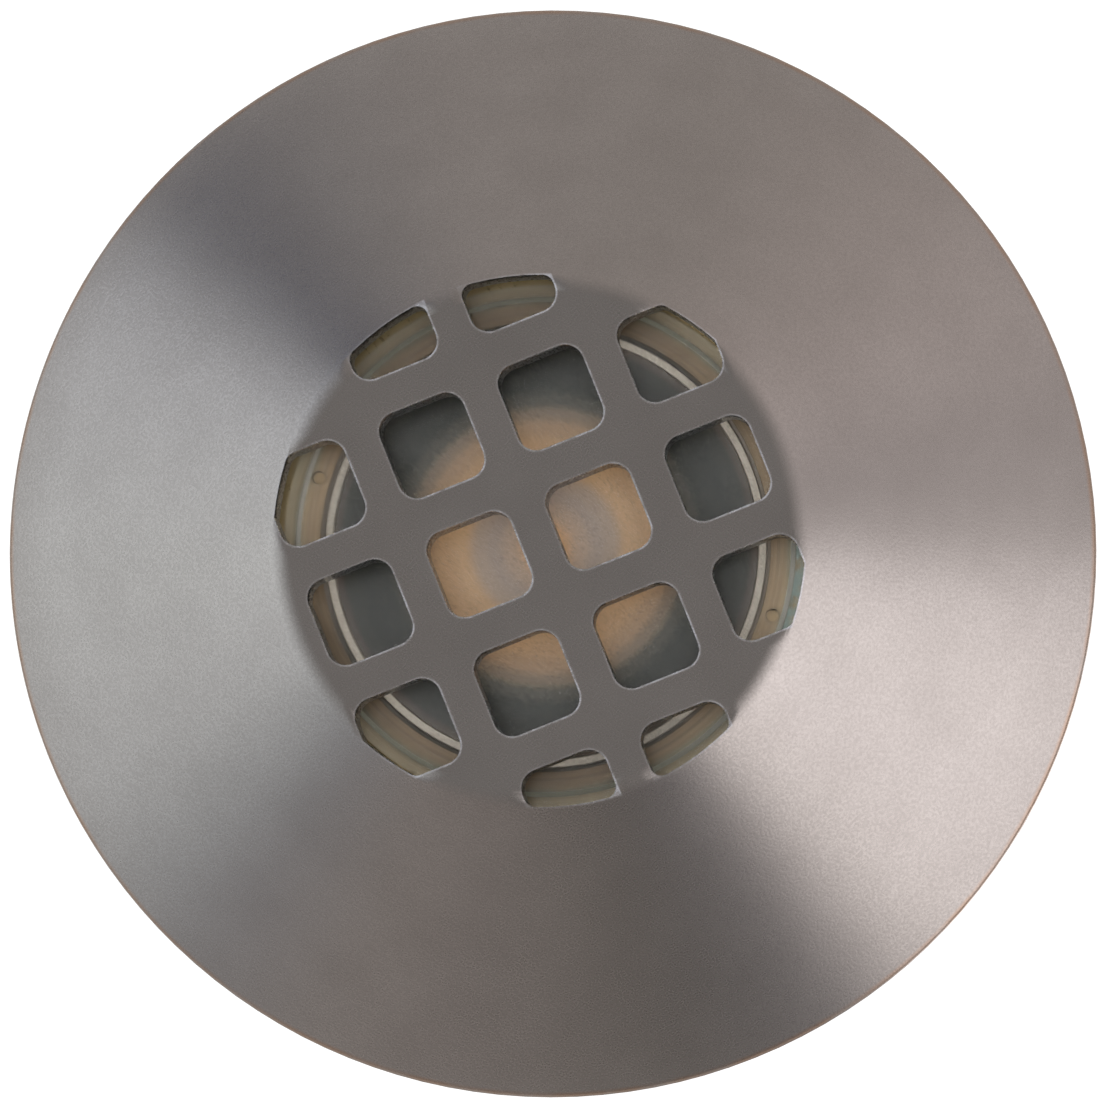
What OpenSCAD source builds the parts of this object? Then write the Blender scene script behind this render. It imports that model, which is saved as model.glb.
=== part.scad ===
// Louvered surface light: a low brass cone that screws down to a flat surface and shines straight up
// through a grid cut in its flat top. Millimetres. The origin is the centre of the underside, +Z up.

/* [Cover] */
// Diameter of the cover at its foot
outer_d = 115; // [110:1:124]
// Height of the light above the surface
height = 30; // [29:0.5:36]
// Diameter of the flat top
flat_top_d = 54; // [52:0.5:56]
// Height of the upright band at the foot of the cone
band_h = 5.4; // [5:0.1:6.4]
// Thickness of the cone, measured square to its face
cone_t = 3; // [2.4:0.1:3.4]
// Radius of the blend between the flat top and the cone
top_blend_r = 3.6; // [0.5:0.1:3.8]
// Radius of the edge between the cone and the band
rim_r = 0.8; // [0.3:0.1:1.2]

/* [Louver] */
// Distance from one bar to the next
louver_pitch = 13.2; // [12.8:0.1:13.6]
// Width of one square cell
cell_w = 9.3; // [8.4:0.1:9.8]
// Radius of a cell's corners
cell_corner_r = 2; // [0.6:0.1:2.4]
// Depth of the bars
louver_depth = 7; // [5.5:0.1:7.5]
// Turn of the grid about the vertical
louver_turn = 21.8; // [0:0.2:45]
// Width of the solid edge between the outermost cells and the foot of the cone's top blend
cell_margin = -0.4; // [-0.6:0.1:0.4]
// Radius of the corners where the outer cells meet the round edge
clip_corner_r = 1.2; // [0.6:0.1:1.6]

/* [Base] */
// Thickness of the base's floor
floor_t = 3; // [2.6:0.1:3.4]
// Thickness of the base's rim
rim_t = 3; // [2.4:0.1:3.4]
// Inside diameter of the lamp well
well_d = 50; // [49:0.1:50.6]
// Thickness of the lamp well's wall
well_t = 3.5; // [3:0.1:3.8]
// Circle that the three fixing holes stand on
fixing_pcd = 80; // [78:0.5:82]
// Diameter of a fixing hole
fixing_hole_d = 4.5; // [4:0.1:5]
// Thickness of the foam gasket under the base
foam_t = 1; // [0.6:0.1:1.2]

/* [Glass] */
// Thickness of the glass
glass_t = 3; // [2.4:0.1:3.4]
// Thickness of the silicone gasket over the glass
glass_gasket_t = 0.5; // [0.3:0.1:0.8]
// Height of the threaded ring that holds the glass
glass_ring_h = 1.9; // [1.6:0.1:2.2]

/* [Lamp] */
// Diameter of the lens face
lens_d = 44.3; // [43.6:0.1:44.8]
// Width of the pale rim that shows round the lens
rim_show = 0.8; // [0.5:0.1:0.9]
// Thickness of the lamp ring's flange
lamp_flange_t = 1.8; // [1.4:0.1:2]
// Diameter of a spanner hole in the lamp ring
spanner_hole_d = 1.4; // [1.2:0.1:2.4]
// Bearing of the first spanner hole
spanner_turn = 163; // [0:1:180]
// Diameter of the emitter's phosphor
phosphor_d = 11; // [9:0.5:12]
// Thickness of the lamp's circuit board
led_board_t = 1.6; // [1.2:0.1:1.8]

/* [Driver] */
// Bearing of the leads between the driver and the lamp
lead_turn = 210; // [206:1:214]
// Diameter over the insulation of one lead
lead_d = 1.2; // [1:0.1:1.4]
// Thickness of the driver's circuit board
driver_board_t = 1.2; // [1:0.1:1.6]

/* [Cable gland] */
// Diameter of the cable that the gland grips
cable_d = 5; // [4:0.1:5.4]
// Diameter of the gland's thread
gland_thread_d = 10; // [9.6:0.1:10.4]

/* [Hidden] */
$fn = 96;

cut = 1;                                  // how far a cutting shape runs past the face that it cuts
thread_gap = 0.05;                        // radial clearance of a plain cylinder that stands for a thread
slip_gap = 0.1;                           // radial clearance of the cover on the base
part_gap = 0.2;                           // clearance between loose neighbours
face_gap = 0.6;                           // clearance between the cover's parts and the lamp ring
half_turn = 180;

// Cone and cover
outer_r = outer_d / 2;
flat_r = flat_top_d / 2;
cone_tan = (height - band_h) / (outer_r - flat_r);
cone_angle = atan(cone_tan);
cone_drop = cone_t / cos(cone_angle);     // the cone's thickness measured straight down
skirt_lift = 0.4;                         // the cover's foot stays this far off the surface
skirt_t = 4.4;
louver_z = height - louver_depth;
clip_r = flat_r - cell_margin;

// Stack that hangs in the cover, from the louver down
glass_seat_w = 2.4;                       // how far the glass reaches past the cells
glass_r = clip_r + glass_seat_w;
pocket_r = glass_r + 0.4;
glass_gasket_w = 2;
glass_top_z = louver_z - glass_gasket_t;
glass_ring_top_z = glass_top_z - glass_t;
collar_z = glass_ring_top_z - glass_ring_h;
collar_t = 2.8;
glass_ring_w = 2.2;
glass_notch_w = 2;

// Base
base_r = outer_r - skirt_t - slip_gap;
chamber_r = base_r - rim_t;
gasket_t = 0.8;
rim_top_z = band_h - 0.4;
shoulder_z = rim_top_z + gasket_t;
shoulder_r = chamber_r + 0.5;
well_r = well_d / 2;
well_outer_r = well_r + well_t;
well_floor_z = floor_t + 2.4;
lamp_ring_top_z = collar_z - face_gap;
well_top_z = lamp_ring_top_z - lamp_flange_t;
foam_edge_w = 2;
foam_w = 4;
foam_r = base_r - foam_edge_w;
fixing_turns = [30, 150, 270];

// Lamp, from the lamp ring down
lens_r = lens_d / 2;
rim_inner_r = lens_r + slip_gap;
rim_outer_r = rim_inner_r + rim_show;
ring_bore_r = rim_outer_r + slip_gap;
ring_flange_r = well_outer_r - 1.1;
ring_spigot_h = 3.2;
ring_chamfer = 0.4;                       // at the bore
ring_step_r = ring_flange_r - 1.3;        // the rim outside this is turned lower
ring_step_h = 0.6;
ring_edge = 0.45;                         // broken edge of the step
spanner_r = (ring_bore_r + well_r) / 2 + 0.7;
holder_top_z = lamp_ring_top_z - 0.8;
holder_flange_z = well_top_z - ring_spigot_h;
holder_r = well_r - slip_gap;
lens_top_z = holder_top_z - 0.3;
lens_plate_t = 1.6;
lens_ledge_r = lens_r - 1.3;
lens_plate_z = lens_top_z - lens_plate_t;
pad_t = 0.5;
pad_r = lens_ledge_r - 1;
led_board_r = lens_ledge_r - 0.5;
led_board_z = well_floor_z + pad_t;
led_top_z = led_board_z + led_board_t;
emitter_w = 13.5;
emitter_t = 1;
phosphor_t = 0.4;
phosphor_z = led_top_z + emitter_t;
lens_foot_z = phosphor_z + phosphor_t + part_gap;
lens_foot_r = 7;
lens_cone_r = 16;
lens_lip = 0.3;                           // how far the lens foot reaches over the phosphor
cavity_taper = 0.6;
cavity_r = phosphor_d / 2 - lens_lip;
cavity_depth = (lens_plate_z - lens_foot_z) * 0.55;

// Small screws: head radius, head height, shank radius, drive radius
screw_head_r = 2.2;
screw_head_h = 1.5;
screw_r = 1.2;
drive_r = 0.9;
drive_depth = 0.9;
led_screw_circle_r = 15.5;
led_screw_z = floor_t + 0.6;

// Driver
board_from = 163;
board_to = 258;
board_inner_r = well_outer_r + 2;
board_outer_r = chamber_r - 3.4;
driver_z = led_top_z - driver_board_t;
driver_screw_turns = [169, 253];
driver_screw_r = (board_inner_r + board_outer_r) / 2;
post_r = 2.8;
lead_z = led_top_z + lead_d / 2;
lead_half_gap = 1.2;
lead_from_r = 17;
lead_to_r = board_inner_r + 1.6;
grommet_r = 2.6;
grommet_flange_r = 3.3;
can_r = 3.15;
can_h = 5.4;
can_turns = [183, 195];
can_inset = 4;                            // from the board's inner edge to the middle of a part
can_circle_r = board_inner_r + can_inset;
coil_r = 4;
coil_h = 4.6;
coil_turn = 221.5;
coil_inset = 4.8;
coil_circle_r = board_inner_r + coil_inset;
rectifier_size = [4.6, 4.2, 2.2];
rectifier_turn = lead_turn;
rectifier_inset = 6;
rectifier_circle_r = board_inner_r + rectifier_inset;
terminal_size = [7.2, 9.6, 6.6];
terminal_turn = 240;
terminal_inset = 4.2;
terminal_circle_r = board_inner_r + terminal_inset;
terminal_pitch = 4.8;
terminal_bore_r = 1.6;                    // screw shafts in the terminal block
terminal_bore_z = 3.4;
terminal_mouth_r = 1.1;                   // where the wires go in
terminal_mouth_z = 2;
terminal_screw_h = 2;
slot_w = 0.5;
slot_depth = 0.6;

// Gland
gland_circle_r = (well_outer_r + chamber_r) / 2 - 0.75;
gland_at = [0, gland_circle_r, 0];
gland_r = gland_thread_d / 2;
gland_hex_r = gland_r + 2;
nut_wall_t = 0.84;
nut_hex_r = (gland_r + thread_gap + nut_wall_t) / cos(30);
nut_room = 0.7;                           // room for a socket round the nut
recess_r = nut_hex_r + nut_room;
boss_wall_t = 1.5;
gland_boss_r = recess_r + boss_wall_t;
gland_headroom = 0.57;                    // between the gland's top and the cone's inside
gland_out_r = norm([gland_hex_r / 2, gland_circle_r + gland_hex_r * cos(30)]);
gland_top_z = cone_z(gland_out_r) - cone_drop - gland_headroom;
gland_washer_t = 0.8;
gland_flange_t = 1.5;
gland_flange_z = gland_top_z - gland_flange_t;
boss_top_z = gland_flange_z - gland_washer_t;
boss_floor_t = 2.5;
recess_z = boss_top_z - boss_floor_t;
gland_foot_z = 2.4;
seal_top_z = recess_z - 0.3;
seal_r = 3.85;
nut_z = 1;
nut_floor_t = 1;
nut_top_z = recess_z - 0.5;
cable_bore_r = cable_d / 2 + 0.2;
foam_land_w = 0.9;                        // the foam gasket stays this far off the recess

// Lock screws
lock_turns = [90, 210, 330];
lock_r = 1.5;
lock_len = 4;
lock_z = skirt_lift + (band_h - skirt_lift) / 2;
lock_socket_r = 0.87;
lock_socket_depth = 1.6;

// Points along an arc about a centre
function arc(c, r, from, to, steps) = [
    for (i = [0 : steps]) let (a = from + (to - from) * i / steps) c + r * [cos(a), sin(a)]
];

// Height of the cone's outer face at a radius
function cone_z(r) = band_h + (outer_r - r) * cone_tan;

// The cover's outline from its foot to the middle of its flat top
function cover_outline() =
    let (
        top_turn = tan(cone_angle / 2),
        rim_turn = tan((90 - cone_angle) / 2),
        top_c = [flat_r - top_blend_r * top_turn, height - top_blend_r],
        rim_c = [outer_r - rim_r, band_h - rim_r * rim_turn]
    )
    concat(
        [[outer_r - 0.4, skirt_lift], [outer_r, skirt_lift + 0.4]],
        arc(rim_c, rim_r, 0, 90 - cone_angle, 6),
        arc(top_c, top_blend_r, 90 - cone_angle, 90, 12)
    );

// A tube about +Z
module tube(outer, inner, from, to) {
    translate([0, 0, from]) difference() {
        cylinder(r = outer, h = to - from);
        translate([0, 0, -cut]) cylinder(r = inner, h = to - from + 2 * cut);
    }
}

// The foam gasket's ring, relieved where the gland's recess comes near it
module foam_ring(from) {
    difference() {
        tube(foam_r, foam_r - foam_w, from, foam_t);
        translate(gland_at + [0, 0, from - cut]) cylinder(r = recess_r + foam_land_w, h = foam_t + 3 * cut);
    }
}

// A pan-head screw whose head stands on z = 0
module pan_screw(length) {
    difference() {
        union() {
            cylinder(r = screw_head_r, h = screw_head_h);
            translate([0, 0, -length]) cylinder(r = screw_r, h = length + 0.1);
        }
        translate([0, 0, screw_head_h - drive_depth]) cylinder(r = drive_r, h = cut + drive_depth, $fn = 6);
    }
}

// A square with round corners
module round_square(w, r) {
    square([w, w - 2 * r], center = true);
    square([w - 2 * r, w], center = true);
    for (x = [-1, 1], y = [-1, 1]) translate([x, y] * (w / 2 - r)) circle(r = r);
}

// Rounds the corner that an upright side at x = side makes with the clip circle. Pass solid = false
// for the wedge to take away and true for the round to put back. Side is +1 where the cell lies
// at smaller x.
module clip_corner(side, solid, facing) {
    cx = side - facing * clip_corner_r;
    c = [cx, sqrt(pow(clip_r - clip_corner_r, 2) - cx * cx)];
    if (solid)
        translate(c) circle(r = clip_corner_r);
    else
        polygon([
            c,
            [side + facing * 0.5, c.y],
            [side + facing * 0.5, clip_r + cut],
            c * (clip_r + 2) / (clip_r - clip_corner_r)
        ]);
}

// A cell that the flat top's round edge cuts short, with the corners named by two lists of
// [side, facing]: on its upright sides, and on its level sides
module clipped_cell(column, row, upright, level) {
    difference() {
        intersection() {
            translate([column, row] * louver_pitch) round_square(cell_w, cell_corner_r);
            circle(r = clip_r);
        }
        for (s = upright) clip_corner(s[0], false, s[1]);
        for (s = level) mirror([1, -1]) clip_corner(s[0], false, s[1]);
    }
    for (s = upright) clip_corner(s[0], true, s[1]);
    for (s = level) mirror([1, -1]) clip_corner(s[0], true, s[1]);
}

// All sixteen cells
module louver_cells() {
    half = cell_w / 2;
    for (column = [-0.5, 0.5], row = [-1, 0, 1])
        translate([column, row] * louver_pitch) round_square(cell_w, cell_corner_r);
    for (column = [-1.5, 1.5])
        translate([column * louver_pitch, 0]) round_square(cell_w, cell_corner_r);
    for (mx = [0, 1], my = [0, 1]) mirror([mx, 0]) mirror([0, my]) {
        clipped_cell(1.5, 1, [[1.5 * louver_pitch + half, 1]], [[louver_pitch + half, 1]]);
        clipped_cell(0.5, 2, [[0.5 * louver_pitch + half, 1], [0.5 * louver_pitch - half, -1]], []);
    }
}

module base() {
    color("#8c7048") difference() {
        union() {
            cylinder(r = base_r, h = floor_t);
            tube(base_r, chamber_r, 0, rim_top_z);
            cylinder(r = well_outer_r, h = well_top_z);
            intersection() {
                translate(gland_at) cylinder(r = gland_boss_r, h = boss_top_z);
                cylinder(r = chamber_r, h = boss_top_z);
            }
            for (turn = driver_screw_turns)
                rotate([0, 0, turn]) translate([driver_screw_r, 0, 0]) cylinder(r = post_r, h = driver_z);
        }
        translate([0, 0, well_floor_z]) cylinder(r = well_r, h = well_top_z);
        foam_ring(-cut);
        for (turn = fixing_turns)
            rotate([0, 0, turn]) translate([fixing_pcd / 2, 0, -cut])
                cylinder(d = fixing_hole_d, h = floor_t + 2 * cut);
        translate(gland_at - [0, 0, cut]) cylinder(r = recess_r, h = recess_z + cut);
        translate(gland_at) cylinder(r = gland_r + thread_gap, h = boss_top_z + cut);
        for (turn = driver_screw_turns)
            rotate([0, 0, turn]) translate([driver_screw_r, 0, led_screw_z])
                cylinder(r = screw_r, h = driver_z);
        for (turn = fixing_turns)
            rotate([0, 0, turn]) translate([led_screw_circle_r, 0, led_screw_z])
                cylinder(r = screw_r, h = well_floor_z);
        rotate([0, 0, lead_turn]) translate([well_r - cut, 0, lead_z]) rotate([0, 90, 0])
            cylinder(r = grommet_r, h = well_t + 2 * cut);
    }
}

module foam_gasket() {
    color("#2b2b2b") foam_ring(0);
}

module cover() {
    inner_cone_z = cone_z(shoulder_r) - cone_drop;
    collar_r = pocket_r + collar_t;
    collar_cone_z = cone_z(collar_r) - cone_drop;
    color("#7b7370") difference() {
        rotate_extrude() polygon(concat(
            [[base_r + slip_gap, skirt_lift]],
            cover_outline(),
            [
                [0, height], [0, louver_z], [pocket_r, louver_z], [pocket_r, collar_z], [collar_r, collar_z],
                [collar_r, collar_cone_z], [shoulder_r, inner_cone_z], [shoulder_r, shoulder_z],
                [base_r + slip_gap, shoulder_z]
            ]
        ));
        rotate([0, 0, louver_turn]) translate([0, 0, louver_z - cut])
            linear_extrude(louver_depth + 2 * cut) louver_cells();
        for (turn = lock_turns)
            rotate([0, 0, turn]) translate([base_r - cut, 0, lock_z]) rotate([0, 90, 0])
                cylinder(r = lock_r + thread_gap, h = skirt_t + 3 * cut);
    }
}

module cover_gasket() {
    color("#303030") tube(base_r - 0.2, chamber_r + 0.6, rim_top_z, shoulder_z);
}

// A socket screw whose tip stops just short of the base's rim
module lock_screw(turn) {
    color("#8e8e90") rotate([0, 0, turn]) translate([base_r + thread_gap, 0, lock_z]) rotate([0, 90, 0])
        difference() {
            cylinder(r = lock_r, h = lock_len);
            translate([0, 0, lock_len - lock_socket_depth])
                cylinder(r = lock_socket_r, h = lock_socket_depth + cut, $fn = 6);
        }
}

module lock_screw_1() {
    lock_screw(lock_turns[0]);
}

module lock_screw_2() {
    lock_screw(lock_turns[1]);
}

module lock_screw_3() {
    lock_screw(lock_turns[2]);
}

module glass_gasket() {
    color("#d8d4cc") tube(glass_r, glass_r - glass_gasket_w, glass_top_z, louver_z);
}

module glass_lens() {
    color([0.8, 0.88, 0.86, 0.35]) translate([0, 0, glass_ring_top_z]) cylinder(r = glass_r, h = glass_t);
}

module glass_ring() {
    color("#9a7d4c") difference() {
        tube(pocket_r - thread_gap, pocket_r - glass_ring_w, collar_z, glass_ring_top_z);
        for (side = [0, half_turn])
            rotate([0, 0, side]) translate([pocket_r - glass_ring_w / 2 - 0.4, 0, collar_z])
                cube([glass_ring_w + 2, glass_notch_w, 1.6], center = true);
    }
}

module lamp_ring() {
    color("#b8935a") difference() {
        rotate_extrude() polygon([
            [ring_bore_r, holder_flange_z], [well_r - thread_gap, holder_flange_z],
            [well_r - thread_gap, well_top_z], [ring_flange_r, well_top_z],
            [ring_flange_r, lamp_ring_top_z - ring_step_h], [ring_step_r, lamp_ring_top_z - ring_step_h],
            [ring_step_r, lamp_ring_top_z - ring_edge], [ring_step_r - ring_edge, lamp_ring_top_z],
            [ring_bore_r + ring_chamfer, lamp_ring_top_z], [ring_bore_r, lamp_ring_top_z - ring_chamfer]
        ]);
        for (turn = [spanner_turn, spanner_turn + half_turn])
            rotate([0, 0, turn]) translate([spanner_r, 0, lamp_ring_top_z - 1.2])
                cylinder(d = spanner_hole_d, h = 1.2 + cut);
    }
}

module lens_holder() {
    color("#d9d2c2") difference() {
        rotate_extrude() polygon([
            [lens_ledge_r, well_floor_z], [holder_r, well_floor_z], [holder_r, holder_flange_z],
            [rim_outer_r, holder_flange_z], [rim_outer_r, holder_top_z], [rim_inner_r, holder_top_z],
            [rim_inner_r, lens_plate_z], [lens_ledge_r, lens_plate_z]
        ]);
        rotate([0, 0, lead_turn]) translate([lens_ledge_r - cut, -lead_half_gap - lead_d, well_floor_z - cut])
            cube([well_r - lens_ledge_r + cut, 2 * (lead_half_gap + lead_d), lead_z + lead_d - well_floor_z + cut]);
    }
}

module beam_lens() {
    color([0.85, 0.85, 0.8, 0.5]) rotate_extrude() polygon([
        [0, lens_top_z], [lens_r, lens_top_z], [lens_r, lens_plate_z], [lens_cone_r, lens_plate_z],
        [lens_foot_r, lens_foot_z], [cavity_r, lens_foot_z], [cavity_r - cavity_taper, lens_foot_z + cavity_depth],
        [0, lens_foot_z + cavity_depth]
    ]);
}

module led_phosphor() {
    color("#e0a860") translate([0, 0, phosphor_z]) cylinder(d = phosphor_d, h = phosphor_t);
}

module led_emitter() {
    color("#e6e6e0") translate([-emitter_w / 2, -emitter_w / 2, led_top_z])
        cube([emitter_w, emitter_w, emitter_t]);
}

module led_board() {
    color("#e8e8e4") difference() {
        translate([0, 0, led_board_z]) cylinder(r = led_board_r, h = led_board_t);
        for (turn = fixing_turns)
            rotate([0, 0, turn]) translate([led_screw_circle_r, 0, led_board_z - cut])
                cylinder(r = screw_r + part_gap, h = led_board_t + 2 * cut);
    }
}

module thermal_pad() {
    color("#7f8fa6") difference() {
        translate([0, 0, well_floor_z]) cylinder(r = pad_r, h = pad_t);
        for (turn = fixing_turns)
            rotate([0, 0, turn]) translate([led_screw_circle_r, 0, well_floor_z - cut])
                cylinder(r = screw_r + part_gap, h = pad_t + 2 * cut);
    }
}

module led_board_screws() {
    color("#b9b9b9") for (turn = fixing_turns)
        rotate([0, 0, turn]) translate([led_screw_circle_r, 0, led_top_z])
            pan_screw(led_top_z - led_screw_z - part_gap);
}

// Two insulated leads that lie on both boards and run straight through the grommet
module led_leads() {
    color("#a03028") for (side = [-1, 1])
        rotate([0, 0, lead_turn]) translate([lead_from_r, side * lead_half_gap, lead_z]) rotate([0, 90, 0])
            cylinder(d = lead_d, h = lead_to_r - lead_from_r);
}

module lead_grommet() {
    color("#262626") rotate([0, 0, lead_turn]) translate([0, 0, lead_z]) rotate([0, 90, 0]) difference() {
        union() {
            translate([0, 0, well_r + 0.1]) cylinder(r = grommet_r, h = well_t + 0.4);
            translate([0, 0, well_outer_r]) cylinder(r = grommet_flange_r, h = 0.8);
        }
        for (side = [-1, 1]) translate([0, side * lead_half_gap, well_r - cut])
            cylinder(d = lead_d, h = well_t + 4 * cut);
    }
}

// A board shaped as part of a ring round the lamp well
module driver_board() {
    color("#2e5a3c") difference() {
        rotate([0, 0, board_from]) translate([0, 0, driver_z])
            rotate_extrude(angle = board_to - board_from) translate([board_inner_r, 0])
                square([board_outer_r - board_inner_r, driver_board_t]);
        for (turn = driver_screw_turns)
            rotate([0, 0, turn]) translate([driver_screw_r, 0, driver_z - cut])
                cylinder(r = screw_r + part_gap, h = driver_board_t + 2 * cut);
    }
}

module driver_board_screws() {
    color("#b9b9b9") for (turn = driver_screw_turns)
        rotate([0, 0, turn]) translate([driver_screw_r, 0, led_top_z])
            pan_screw(led_top_z - led_screw_z - part_gap);
}

// Places a driver component on the board at a bearing and a radius
module on_board(turn, r) {
    rotate([0, 0, turn]) translate([r, 0, led_top_z]) children();
}

module terminal_block() {
    color("#3f7f5a") on_board(terminal_turn, terminal_circle_r) difference() {
        translate([-terminal_size.x / 2, -terminal_size.y / 2, 0]) cube(terminal_size);
        for (side = [-0.5, 0.5]) translate([0, side * terminal_pitch, 0]) {
            translate([0, 0, terminal_bore_z]) cylinder(r = terminal_bore_r, h = terminal_size.z);
            translate([0, 0, terminal_mouth_z]) rotate([0, 90, 0])
                cylinder(r = terminal_mouth_r, h = terminal_size.x);
        }
    }
}

module terminal_screws() {
    color("#b9b9b9") on_board(terminal_turn, terminal_circle_r)
        for (side = [-0.5, 0.5]) translate([0, side * terminal_pitch, terminal_bore_z]) difference() {
            cylinder(r = terminal_bore_r - slip_gap, h = terminal_screw_h);
            translate([-terminal_bore_r, -slot_w / 2, terminal_screw_h - slot_depth])
                cube([2 * terminal_bore_r, slot_w, slot_depth + cut]);
        }
}

// A drum core: two flanges with the winding between them
module inductor() {
    color("#4a4a4c") on_board(coil_turn, coil_circle_r) {
        cylinder(r = coil_r, h = 1);
        translate([0, 0, 0.9]) cylinder(r = coil_r - 0.6, h = coil_h - 1.8);
        translate([0, 0, coil_h - 1]) cylinder(r = coil_r, h = 1);
    }
}

module capacitors() {
    color("#a9abb0") for (turn = can_turns) on_board(turn, can_circle_r) {
        translate([-can_r, -can_r, 0]) cube([2 * can_r, 2 * can_r, 0.8]);
        translate([0, 0, 0.7]) cylinder(r = can_r - 0.05, h = can_h - 0.7);
    }
}

module rectifier() {
    color("#1f1f21") on_board(rectifier_turn, rectifier_circle_r)
        translate([-rectifier_size.x / 2, -rectifier_size.y / 2, 0]) cube(rectifier_size);
}

module gland_body() {
    color("#a8854f") translate(gland_at) difference() {
        union() {
            translate([0, 0, gland_flange_z]) cylinder(r = gland_hex_r, h = gland_flange_t, $fn = 6);
            translate([0, 0, gland_foot_z]) cylinder(r = gland_r, h = gland_flange_z - gland_foot_z + 0.1);
        }
        cylinder(r = seal_r + thread_gap, h = seal_top_z);
        cylinder(r = cable_bore_r, h = height);
    }
}

module gland_washer() {
    color("#2b2b2b") translate(gland_at)
        tube(gland_hex_r * cos(30), gland_r + thread_gap, boss_top_z, gland_flange_z);
}

module gland_seal() {
    color("#33302e") translate(gland_at) tube(seal_r, cable_d / 2, nut_z + nut_floor_t, seal_top_z);
}

module gland_nut() {
    color("#a8854f") translate(gland_at) difference() {
        translate([0, 0, nut_z]) cylinder(r = nut_hex_r, h = nut_top_z - nut_z, $fn = 6);
        cylinder(r = cable_bore_r, h = height);
        translate([0, 0, nut_z + nut_floor_t]) cylinder(r = gland_r + thread_gap, h = height);
    }
}

base();
foam_gasket();
cover();
cover_gasket();
lock_screw_1();
lock_screw_2();
lock_screw_3();
glass_gasket();
glass_lens();
glass_ring();
lamp_ring();
lens_holder();
beam_lens();
led_phosphor();
led_emitter();
led_board();
thermal_pad();
led_board_screws();
led_leads();
lead_grommet();
driver_board();
driver_board_screws();
terminal_block();
terminal_screws();
inductor();
capacitors();
rectifier();
gland_body();
gland_washer();
gland_seal();
gland_nut();
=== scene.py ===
"""Louvered surface light: looks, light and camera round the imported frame. Metres, +Z up."""
import math

import bpy
import numpy as np
from mathutils import Matrix, Vector


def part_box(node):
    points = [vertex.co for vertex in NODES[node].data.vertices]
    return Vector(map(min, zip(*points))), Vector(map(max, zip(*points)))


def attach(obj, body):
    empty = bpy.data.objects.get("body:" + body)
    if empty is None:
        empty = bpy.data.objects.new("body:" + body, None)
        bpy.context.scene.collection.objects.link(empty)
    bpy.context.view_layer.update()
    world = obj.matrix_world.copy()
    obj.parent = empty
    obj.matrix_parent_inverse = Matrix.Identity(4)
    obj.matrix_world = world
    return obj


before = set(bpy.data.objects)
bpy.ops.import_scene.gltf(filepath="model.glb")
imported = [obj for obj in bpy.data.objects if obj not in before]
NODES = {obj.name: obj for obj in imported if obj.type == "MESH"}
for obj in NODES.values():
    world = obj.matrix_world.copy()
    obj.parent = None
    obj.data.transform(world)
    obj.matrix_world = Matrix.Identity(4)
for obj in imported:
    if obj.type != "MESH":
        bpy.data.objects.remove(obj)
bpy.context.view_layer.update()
MM = 0.001


# Sizes taken from the frame

def top(node):
    """Height of a node's highest point."""
    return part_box(node)[1][2]


def reach(node):
    """Radius of a round node that stands on the vertical axis."""
    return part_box(node)[1][0]


def middle_of(node):
    """Middle of a node's box, as bearing in degrees and radius."""
    low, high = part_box(node)
    x, y = (low[0] + high[0]) / 2, (low[1] + high[1]) / 2
    return math.degrees(math.atan2(y, x)) % 360, math.hypot(x, y)


def spot(turn, r):
    """The place at a bearing in degrees and a radius."""
    a = math.radians(turn)
    return (r * math.cos(a), r * math.sin(a), 0.0)


COVER_R = reach("cover")
COVER_TOP = top("cover")
RING_R = reach("lamp_ring")
RING_TOP = top("lamp_ring")
LENS_R = reach("beam_lens")
BOARD_TOP = top("driver_board")
CANS_TOP = top("capacitors")

# Sizes that the frame's boxes don't give, as in the part's source. Heights of the cover's band and the
# base's rim:
BAND_TOP = 5.4 * MM
RIM_TOP = 5 * MM
# The louver's bearing in degrees and pitch, its cells' half width and corner, and the circle that trims them
GRID_TURN = 21.8
GRID_PITCH = 13.2 * MM
CELL_HALF = 4.65 * MM
CELL_CORNER = 2 * MM
CELLS_R = 27.4 * MM
# The lamp well, and the lamp ring's flange, lap over the lens holder, lowered rim, chamfer and spanner holes
WELL_R = 25 * MM
RING_FLANGE_T = 1.8 * MM
HOLDER_LAP = 1.8 * MM
LOW_RIM_W = 1.3 * MM
CHAMFER_W = 0.4 * MM
WELL_TOP = RING_TOP - RING_FLANGE_T
BORE_R = reach("lens_holder") - HOLDER_LAP
STEP_R = RING_R - LOW_RIM_W
SPANNER_TURN = 163
SPANNER_R = (BORE_R + WELL_R) / 2 + 0.7 * MM
# The cans' bearings in degrees, the radius of their circle and their own, and the leads' bearing and offset
CAN_TURNS = (183, 195)
CANS_AT_R = 34.5 * MM
CAN_R = 3.1 * MM
LEAD_TURN = 210
LEAD_OFF = 1.2 * MM

# Width of the pale edge at the lamp ring's step, painted partly as rubbed metal and partly as highlight
PALE_EDGE_W = 0.5 * MM
# Bearings of the lamp ring's wedges of painted highlight, and how far off they start to show and are full, in
# degrees
GLINTS = [(-5, 66, 22), (168, 38, 10)]
# Nearly all of a noise's values lie between these
NOISE_LOW, NOISE_HIGH = 0.3, 0.7
# Vector operations that give a number
MEASURES = ("DISTANCE", "DOT_PRODUCT", "LENGTH")


# Helpers for materials

def srgb(text):
    """Linear red, green, blue and alpha of an sRGB hex colour."""
    values = [int(text[i:i + 2], 16) / 255 for i in (1, 3, 5)]
    linear = [v / 12.92 if v <= 0.04045 else ((v + 0.055) / 1.055) ** 2.4 for v in values]
    return (*linear, 1.0)


def feed(tree, node, inputs):
    """Sets a node's inputs, by name or number, each to a value or to another node's output."""
    for name, value in inputs.items():
        if isinstance(value, bpy.types.NodeSocket):
            tree.links.new(value, node.inputs[name])
        else:
            node.inputs[name].default_value = value


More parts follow.
